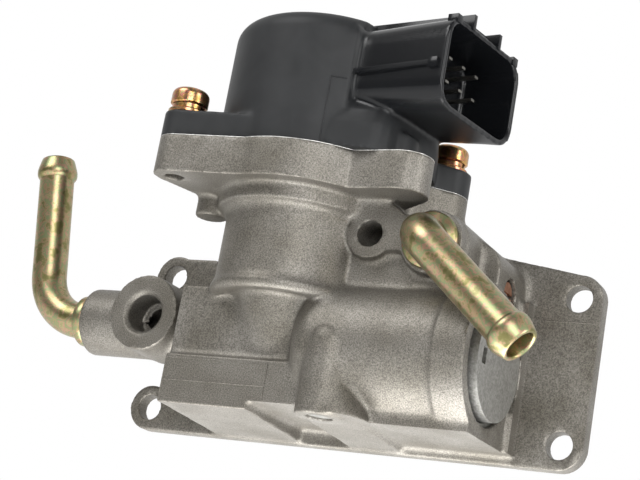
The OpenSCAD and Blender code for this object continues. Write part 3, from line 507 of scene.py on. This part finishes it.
# Bars on the shroud, each from and to along, across and above it, and how far
# the mouth's end leans across.
NEAR_RAIL = (14.0, 48.3, -7.8, -6.6, 9.6, 13.6)
GUIDE_BARS = {"far_rail": (14.0, 48.3, 4.4, 5.6, 9.6, 13.6), "latch_bar": (39.0, 44.5, -7.2, 5.0, 11.6, 13.2),
              "near_block": (45.2, MOUTH_X + 0.15, -14.7, -12.4, 8.8, 10.95),
              "far_block": (45.2, MOUTH_X + 0.15, 12.4, 14.7, 8.8, 10.95),
              "near_rib": (17.0, 46.0, -16.4, -15.1, -3.2, -2.0, -1.3),
              "far_rib": (17.0, 46.0, 15.1, 16.3, -3.2, -2.0, 1.9),
              "near_stop": (43.6, 46.2, -17.9, -16.3, -3.9, -1.6),
              "far_stop": (43.6, 46.2, 16.3, 18.9, -3.9, -1.6)}
SEAM_R, SEAM_LOW, SEAM_TOP = 0.12, 1, 18


def at_plug(x, y, z):
    """A point in metres, from mm along, across and above the connector's middle."""
    return Vector((AXIS_X + x * math.cos(PLUG_TURN) - y * math.sin(PLUG_TURN),
                   AXIS_Y + x * math.sin(PLUG_TURN) + y * math.cos(PLUG_TURN), JOINT_Z + MOUTH_Z + z)) * MM


def rounded(x, wide, high, middle, corner, steps=7):
    """A rounded rectangle across the connector at distance x."""
    ring = []
    for side_y, side_z, start in ((1, -1, -90), (1, 1, 0), (-1, 1, 90), (-1, -1, 180)):
        for k in range(steps):
            a = math.radians(start + 90 * k / (steps - 1))
            ring.append(at_plug(x, side_y * (wide / 2 - corner) + corner * math.cos(a),
                                middle + side_z * (high / 2 - corner) + corner * math.sin(a)))
    return ring


def bar(name, x0, x1, y0, y1, z0, z1, lean=0.0):
    """A straight bar along the connector, its far end moved across by lean."""
    return loft(name, [[at_plug(x, y + more, z) for y, z in ((y0, z0), (y1, z0), (y1, z1), (y0, z1))]
                       for x, more in ((x0, 0.0), (x1, lean))])


def root_plan(inset, z):
    """The dome's round with its flats towards the connector, at a height."""
    full = DOME_R - 0.05
    start = math.acos(full / math.hypot(ROOT_X, ROOT_HALF)) + math.atan2(ROOT_HALF, ROOT_X)
    r, far = full - inset, ROOT_X - inset
    half = (r - far * math.cos(start)) / math.sin(start)
    round_part = [(r * math.cos(start + (2 * math.pi - 2 * start) * k / 60),
                   r * math.sin(start + (2 * math.pi - 2 * start) * k / 60)) for k in range(61)]
    return [at_plug(x, y, z) for x, y in round_part + [(far, -half), (far, half)]]


def cover_seats(points):
    """The points of the cover on its joint face, inside it and in its screw eyes."""
    z = points[:, 2]
    cut = (z < JOINT_Z + 0.2) | (away(points, 2, VALVE) < ROOM_R) & (z < JOINT_Z + ROOM_TOP)
    for at in SCREWS:
        cut |= away(points, 2, at) < SCREW_SEAT_R
    return cut


moulding = solid_copy("cover_moulding", "actuator_cover")
combine(moulding, [bar("old_shroud", *OLD_SHROUD)], "DIFFERENCE")
arch = [(ARCH_R - ARCH_R * math.cos(math.radians(a)), ROOT_Z + ARCH_R * math.sin(math.radians(a)))
        for a in range(0, 91, 15)]
root = loft("root", [root_plan(0, COVER_FOOT)] + [root_plan(inset, z) for inset, z in arch])
motor_room = loft("motor_room", [oval(AXIS_X, AXIS_Y, z, HOLLOW_R, HOLLOW_R, HOLLOW_SIDES)
                                 for z in (JOINT_Z - 1, JOINT_Z + HOLLOW_TOP)])
combine(root, [motor_room], "DIFFERENCE")
apron_plan = [(x, -y) for x, y in APRON_SIDE] + APRON_SIDE[::-1]
apron = loft("apron", [[at_plug(x, y * narrow, z) for x, y in apron_plan] for z, narrow in APRON_LEVELS])
shroud = loft("shroud", [rounded(*section) for section in SHROUD])
combine(moulding, [root, apron, shroud], "UNION")
combine(moulding, [loft("socket", [rounded(*section) for section in SOCKET])], "DIFFERENCE")
soften(moulding, COVER_STEP, cover_seats, COVER_FILLET_PASSES, COVER_EDGE_PASSES, COVER_FACES)

# The polish starts past the dome and above the apron.
plastic, bt, plastic_shader, at_mm = begin_material("moulded_black_pbt", {"IOR": 1.35})
along_plug = AXIS_X * math.cos(PLUG_TURN) + AXIS_Y * math.sin(PLUG_TURN)
forward = add_node(bt, "ShaderNodeVectorMath", {"operation": "DOT_PRODUCT"},
                   {0: at_mm, 1: (math.cos(PLUG_TURN), math.sin(PLUG_TURN), 0.0)})
out_far = add_node(bt, "ShaderNodeMapRange", {},
                   {"Value": forward.outputs["Value"], "From Min": along_plug + 19.5, "From Max": along_plug + 22.5})
level = add_node(bt, "ShaderNodeSeparateXYZ", {}, {0: at_mm})
up_high = add_node(bt, "ShaderNodeMapRange", {},
                   {"Value": level.outputs["Z"], "From Min": JOINT_Z + 8.0, "From Max": JOINT_Z + 12.5})
polish = add_node(bt, "ShaderNodeMath", {"operation": "MULTIPLY"},
                  {0: out_far.outputs[0], 1: up_high.outputs[0]})
matt = tones(bt, noise(bt, at_mm, 0.12, 4.0, Distortion=0.6), (0.3, "#18191a"), (0.7, "#222324"))
body_tone = add_node(bt, "ShaderNodeMix", {"data_type": "RGBA"},
                     {0: polish.outputs[0], 6: matt, 7: linear("#0e0f11")})
gloss = add_node(bt, "ShaderNodeMapRange", {}, {"Value": polish.outputs[0], "To Min": 0.5, "To Max": 0.2})
bt.links.new(body_tone.outputs[2], plastic_shader.inputs["Base Color"])
bt.links.new(gloss.outputs[0], plastic_shader.inputs["Roughness"])
bump(bt, plastic_shader, noise(bt, at_mm, 2.2, 2.0), 0.12, 0.05)
paint(moulding, plastic)
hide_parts("actuator_cover")
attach(moulding, "body")

guides = bar("connector_guides", *NEAR_RAIL)
combine(guides, [bar(name, *size) for name, size in GUIDE_BARS.items()], "UNION")
rounding = guides.modifiers.new("rounding", "BEVEL")
rounding.width = 0.25 * MM
rounding.segments = 2
guides.data = applied(guides)
guides.modifiers.remove(rounding)
smooth(guides, 40)
paint(guides, plastic)
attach(guides, "body")

seam_foot = at_plug(16.6, -19.9, 0) / MM
seam_end = at_plug(19.8, -17.5, 0) / MM
cover_seam = ridge_lines("cover_seam", [[(seam_foot.x, seam_foot.y, JOINT_Z + SEAM_LOW),
                                         (seam_foot.x, seam_foot.y, JOINT_Z + SEAM_TOP),
                                         (seam_end.x, seam_end.y, JOINT_Z + SEAM_TOP)]], SEAM_R, plastic)
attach(cover_seam, "body")


# The hose nipples are steel tube, bent, beaded and zinc plated. The yellow
# chromate film on the zinc shifts from olive to straw and pink.
TUBE_R, BORE_R = 4.95, 3.75
BEND_STEPS, TUBE_SIDES = 30, 72
DOWN_RIGHT = math.radians(41)
# The bead's profile and the open end, as distances back from the end and radii.
BEAD = [(6.3, 4.95), (6.0, 5.05), (5.75, 5.35), (5.3, 5.62), (4.6, 5.76), (3.7, 5.74), (2.5, 5.45),
        (1.3, 5.1), (0.5, 4.84), (0.15, 4.7), (0.0, 4.5), (0.0, 4.1), (0.15, 3.88), (0.6, BORE_R)]

film, ft, film_shader, at_mm = begin_material("yellow_chromated_zinc", {"Metallic": 1.0, "Roughness": 0.34})
tint = tones(ft, noise(ft, at_mm, 0.25, 4.0, Roughness=0.62),
             (0.36, "#77724a"), (0.42, "#87825a"), (0.46, "#ab8a70"), (0.5, "#8f9068"),
             (0.54, "#84906a"), (0.58, "#b08674"), (0.62, "#a39c74"), (0.68, "#8a8660"))
ft.links.new(tint, film_shader.inputs["Base Color"])
bump(ft, film_shader, noise(ft, at_mm, 1.2, 3.0), 0.15, 0.04)


def hose_nipple(name, start, away_dir, rise_dir, seat, out, bend_r, angle, straight, collar, thick):
    """A bent tube: stub, collar, bend and straight with its bead, open at both ends."""
    away_dir, rise_dir = Vector(away_dir), Vector(rise_dir)
    side = away_dir.cross(rise_dir)
    end = math.radians(angle)

    def station(run):
        """The middle and the direction of the tube at a length from its bend's start."""
        if run < 0:
            return away_dir * run, away_dir
        a = min(run / bend_r, end)
        middle = rise_dir * (bend_r - bend_r * math.cos(a)) + away_dir * (bend_r * math.sin(a))
        ahead = away_dir * math.cos(a) + rise_dir * math.sin(a)
        return middle + ahead * max(0.0, run - bend_r * end), ahead

    skin = [(-out - seat, BORE_R), (-out - seat, TUBE_R), (-out - 0.1, TUBE_R), (-out - 0.1, collar - 0.3),
            (-out + 0.2, collar), (-out + thick - 0.7, collar), (-out + thick - 0.2, collar - 0.4),
            (-out + thick, TUBE_R + 0.15), (-out + thick + 0.2, TUBE_R)]
    skin += [(bend_r * end * k / BEND_STEPS, TUBE_R) for k in range(BEND_STEPS + 1)]
    skin += [(bend_r * end + straight - back, r) for back, r in BEAD]
    skin += [(bend_r * end * k / BEND_STEPS, BORE_R) for k in range(BEND_STEPS, -1, -1)]
    round_angles = [k * 2 * math.pi / TUBE_SIDES for k in range(TUBE_SIDES)]
    mesh = bmesh.new()
    rows = []
    for run, r in skin:
        middle, ahead = station(run)
        up = side.cross(ahead)
        rows.append([mesh.verts.new((Vector(start) + middle + up * (r * math.cos(a)) + side * (r * math.sin(a)))
                                    * MM) for a in round_angles])
    bridge(mesh, rows + rows[:1])
    piece = put_solid(name, mesh)
    smooth(piece, 50)
    paint(piece, film)
    return piece


left_tube = hose_nipple("left_tube", (-80.7, -13.8, 2.0), (-1, 0, 0), (0, 0, 1),
                        seat=10, out=3.7, bend_r=15, angle=80.5, straight=35.5, collar=7.0, thick=3.1)
right_tube = hose_nipple("right_tube", (31.2, -40.3, 22.6), (0, -1, 0),
                         (math.cos(DOWN_RIGHT), 0, -math.sin(DOWN_RIGHT)),
                         seat=8, out=4.3, bend_r=8, angle=90, straight=34, collar=7.3, thick=1.9)
for tube, node in ((left_tube, "left_hose_nipple"), (right_tube, "right_hose_nipple")):
    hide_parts(node)
    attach(tube, "body")


# Two pan head screws with a cross recess hold the cover down, each on a split
# spring washer and a flat washer. They are zinc plated and chromated too, with
# a stronger film that turns pink and brown.
EAR_TOP = JOINT_Z + 6.8
SCREW_R, HEAD_R, HEAD_H, CROWN_R = 2.5, 4.9, 4.6, 1.7
FLAT_T, SPLIT_T, SPLIT_WIRE, WASHER_BORE = 1.1, 1.5, 1.2, 2.6
FLAT_R, SPLIT_R, SPLIT_TURN = HEAD_R + 0.2, 4.3, 348.0
HEAD_Z = EAR_TOP + FLAT_T + SPLIT_T
SLOT, SLOT_TURN = (5.4, 1.1, 3.6), 25


def turned(mesh, profile, steps, centre, sweep=360.0, rise=0.0):
    """Add a ring of a closed (radius, height) profile turned about a Z axis."""
    rings = []
    whole = sweep >= 360
    for k in range(steps if whole else steps + 1):
        angle = math.radians(sweep * k / steps)
        lift = rise * k / steps
        rings.append([mesh.verts.new(Vector((centre[0] + r * math.cos(angle), centre[1] + r * math.sin(angle),
                                             z + lift)) * MM) for r, z in profile])
    bridge(mesh, rings + rings[:1] if whole else rings)
    if not whole:
        mesh.faces.new(rings[0])
        mesh.faces.new(rings[-1])


crown_z = HEAD_Z + HEAD_H - 1.9
crown = [(HEAD_R - CROWN_R * (1 - math.cos(math.radians(a))), crown_z + CROWN_R * math.sin(math.radians(a)))
         for a in range(0, 91, 15)]
screw_side = [(0.02, HEAD_Z - 13.5), (2.0, HEAD_Z - 13.5), (SCREW_R, HEAD_Z - 12.8), (SCREW_R, HEAD_Z),
              (HEAD_R - 0.4, HEAD_Z), (HEAD_R, HEAD_Z + 0.35)] + crown + [(0.02, HEAD_Z + HEAD_H)]
split_z = EAR_TOP + FLAT_T
flat_side = [(WASHER_BORE, EAR_TOP), (FLAT_R - 0.15, EAR_TOP), (FLAT_R, EAR_TOP + 0.2), (FLAT_R, split_z - 0.2),
             (FLAT_R - 0.15, split_z), (WASHER_BORE, split_z)]
split_side = [(WASHER_BORE, split_z), (SPLIT_R - 0.1, split_z), (SPLIT_R, split_z + 0.1),
              (SPLIT_R, split_z + SPLIT_WIRE - 0.1), (SPLIT_R - 0.1, split_z + SPLIT_WIRE),
              (WASHER_BORE, split_z + SPLIT_WIRE)]
blank = bmesh.new()
turned(blank, screw_side, 64, SCREWS[0])
turned(blank, flat_side, 64, SCREWS[0])
turned(blank, split_side, 60, SCREWS[0], SPLIT_TURN, SPLIT_T - SPLIT_WIRE)
bmesh.ops.remove_doubles(blank, verts=blank.verts, dist=1e-7)
screw_set = put_solid("cover_screw_set", blank)

gold = mottled("iridescent_zinc_film", {"Metallic": 1.0, "Roughness": 0.25},
               [(0.3, "#8c6a3c"), (0.42, "#c29a5e"), (0.5, "#b46a68"), (0.56, "#8f9a62"), (0.62, "#9c5a4c"),
                (0.7, "#a98a58")], 0.35, 2.0, Distortion=1.5)

# A node tree cuts the recess with two crossed bars and sets the second screw.
pair = bpy.data.node_groups.new("recess_and_pair", "GeometryNodeTree")
pair.interface.new_socket("Geometry", in_out="INPUT", socket_type="NodeSocketGeometry")
inputs = {label: pair.interface.new_socket(label, in_out="INPUT", socket_type="NodeSocketVector").identifier
          for label in ("Top", "Next Screw", "Slot Size")}
pair.interface.new_socket("Geometry", in_out="OUTPUT", socket_type="NodeSocketGeometry")
given = add_node(pair, "NodeGroupInput")
slot_bar = add_node(pair, "GeometryNodeMeshCube", {}, {"Size": given.outputs["Slot Size"]})
along, across = (add_node(pair, "GeometryNodeTransform", {},
                          {"Geometry": slot_bar.outputs[0], "Translation": given.outputs["Top"],
                           "Rotation": (0, 0, math.radians(a))}) for a in (SLOT_TURN, SLOT_TURN + 90))
recess = add_node(pair, "GeometryNodeMeshBoolean", {"operation": "DIFFERENCE"},
                  {"Mesh 1": given.outputs["Geometry"], "Mesh 2": along.outputs[0]})
pair.links.new(across.outputs[0], recess.inputs["Mesh 2"])
spots = add_node(pair, "GeometryNodeMeshLine", {"mode": "OFFSET"},
                 {"Count": 2, "Offset": given.outputs["Next Screw"]})
placed = add_node(pair, "GeometryNodeInstanceOnPoints", {},
                  {"Points": spots.outputs[0], "Instance": recess.outputs[0]})
real = add_node(pair, "GeometryNodeRealizeInstances", {}, {"Geometry": placed.outputs[0]})
coated = add_node(pair, "GeometryNodeSetMaterial", {}, {"Geometry": real.outputs[0], "Material": gold})
add_node(pair, "NodeGroupOutput", {}, {"Geometry": coated.outputs[0]})
maker = screw_set.modifiers.new("recess_and_pair", "NODES")
maker.node_group = pair
maker[inputs["Top"]] = Vector((*SCREWS[0], HEAD_Z + HEAD_H)) * MM
maker[inputs["Next Screw"]] = Vector((SCREWS[1][0] - SCREWS[0][0], SCREWS[1][1] - SCREWS[0][1], 0)) * MM
maker[inputs["Slot Size"]] = Vector(SLOT) * MM
screw_set.data = applied(screw_set)
screw_set.modifiers.remove(maker)
smooth(screw_set, 35)
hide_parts("cover_screws", "screw_washers")
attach(screw_set, "body")


# The plug that closes the barrel, its snap ring and the pins and cups inside
# are turned, pressed or drawn steel with a dull zinc coat.
def dress(mat, *names):
    """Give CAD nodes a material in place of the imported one."""
    for name in names:
        paint(part[name], mat)


steel = mottled("dull_zinc_plated_steel", {"Metallic": 0.9, "Roughness": 0.45},
                [(0.3, "#7f7e7a"), (0.7, "#a9a8a4")], 1.4, 4.0, (0.15, 0.05), Roughness=0.6)
dress(steel, "barrel_plug", "snap_ring", "cover_bushings", "motor_end_plate", "stator_cup_lower",
      "stator_cup_upper", "valve_spindle", "element_piston", "passage_plug")


# Two springs are wound from plain wire. Each keeps one end on a fixed face.
RETURN_COIL_R, RETURN_WIRE_R, BYPASS_COIL_R, BYPASS_WIRE_R = 7.0, 0.6, 4.4, 0.45


def coil_path(radius, turns, start, end, steps=28):
    """Points on a coil between two points on its axis, which runs along X or Z."""
    start, end = Vector(start), Vector(end)
    up = Vector((0, 1, 0))
    side = up.cross((end - start).normalized())
    count = turns * steps
    return [tuple(start.lerp(end, k / count) + up * (radius * math.cos(2 * math.pi * k / steps))
                  + side * (radius * math.sin(2 * math.pi * k / steps))) for k in range(count + 1)]


return_wire = coil_path(RETURN_COIL_R, 6, (AXIS_X, AXIS_Y, 16.8), (AXIS_X, AXIS_Y, 40.1))
return_coil = ridge_lines("return_coil", [return_wire], RETURN_WIRE_R, steel)
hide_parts("return_spring")
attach(return_coil, "body")
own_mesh(return_coil)
bypass_wire = coil_path(BYPASS_COIL_R, 4, (2.5, BARREL_Y, BARREL_Z), (9.8, BARREL_Y, BARREL_Z))
bypass_coil = ridge_lines("bypass_coil", [bypass_wire], BYPASS_WIRE_R, steel)
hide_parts("bypass_spring")
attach(bypass_coil, "body")
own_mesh(bypass_coil)

# The six terminals are stamped from tinned brass strip. Their tin is coloured dark grey as painted shade for the
# deep socket they sit in.
shaded_tin = mottled("tinned_brass_painted_shade", {"Metallic": 1.0, "Roughness": 0.4},
              [(0.0, "#5e5d59"), (1.0, "#84827c")], 2.0, 2.0)
dress(shaded_tin, "connector_pins")

# The adjusting screw is bare copper alloy, and the motor's windings are
# enamelled copper wire of the same tone.
copper = mottled("bare_copper", {"Metallic": 1.0, "Roughness": 0.35},
                 [(0.3, "#a66f55"), (0.7, "#d6a98f")], 0.6, 4.0, (0.2, 0.05))
dress(copper, "adjusting_screw", "coil_lower", "coil_upper")

# Seals are moulded nitrile rubber and the rotor is a pressed ferrite ring, both
# dull black with a slight bloom.
rubber = mottled("nitrile_rubber", {"Roughness": 0.7},
                 [(0.0, "#151515"), (1.0, "#2b2a29")], 0.8, 4.0, (0.1, 0.05))
dress(rubber, "cover_seal", "plug_seal", "adjusting_seal", "rotor_magnet")

# Bearings, seat, capsule and slide valve are turned brass, with fine tool rings.
brass, gt, brass_shader, at_mm = begin_material("turned_brass", {"Metallic": 1.0, "Roughness": 0.3})
tooling = add_node(gt, "ShaderNodeTexWave", {"bands_direction": "Z"},
                   {"Vector": at_mm, "Scale": 1.2, "Distortion": 0.6}).outputs["Fac"]
gt.links.new(tones(gt, tooling, (0.0, "#b08f4a"), (1.0, "#cbaa62")), brass_shader.inputs["Base Color"])
bump(gt, brass_shader, tooling, 0.1, 0.02)
dress(brass, "bearing_lower", "bearing_upper", "valve_seat", "wax_element", "bypass_valve")

# Bobbins, rotor nut and valve cone are natural nylon, moulded and a little clouded.
nylon = mottled("natural_nylon", {"Roughness": 0.45}, [(0.0, "#d2ccb8"), (1.0, "#e6e1d2")], 0.3, 3.0)
dress(nylon, "bobbin_lower", "bobbin_upper", "rotor_nut", "valve_cone")
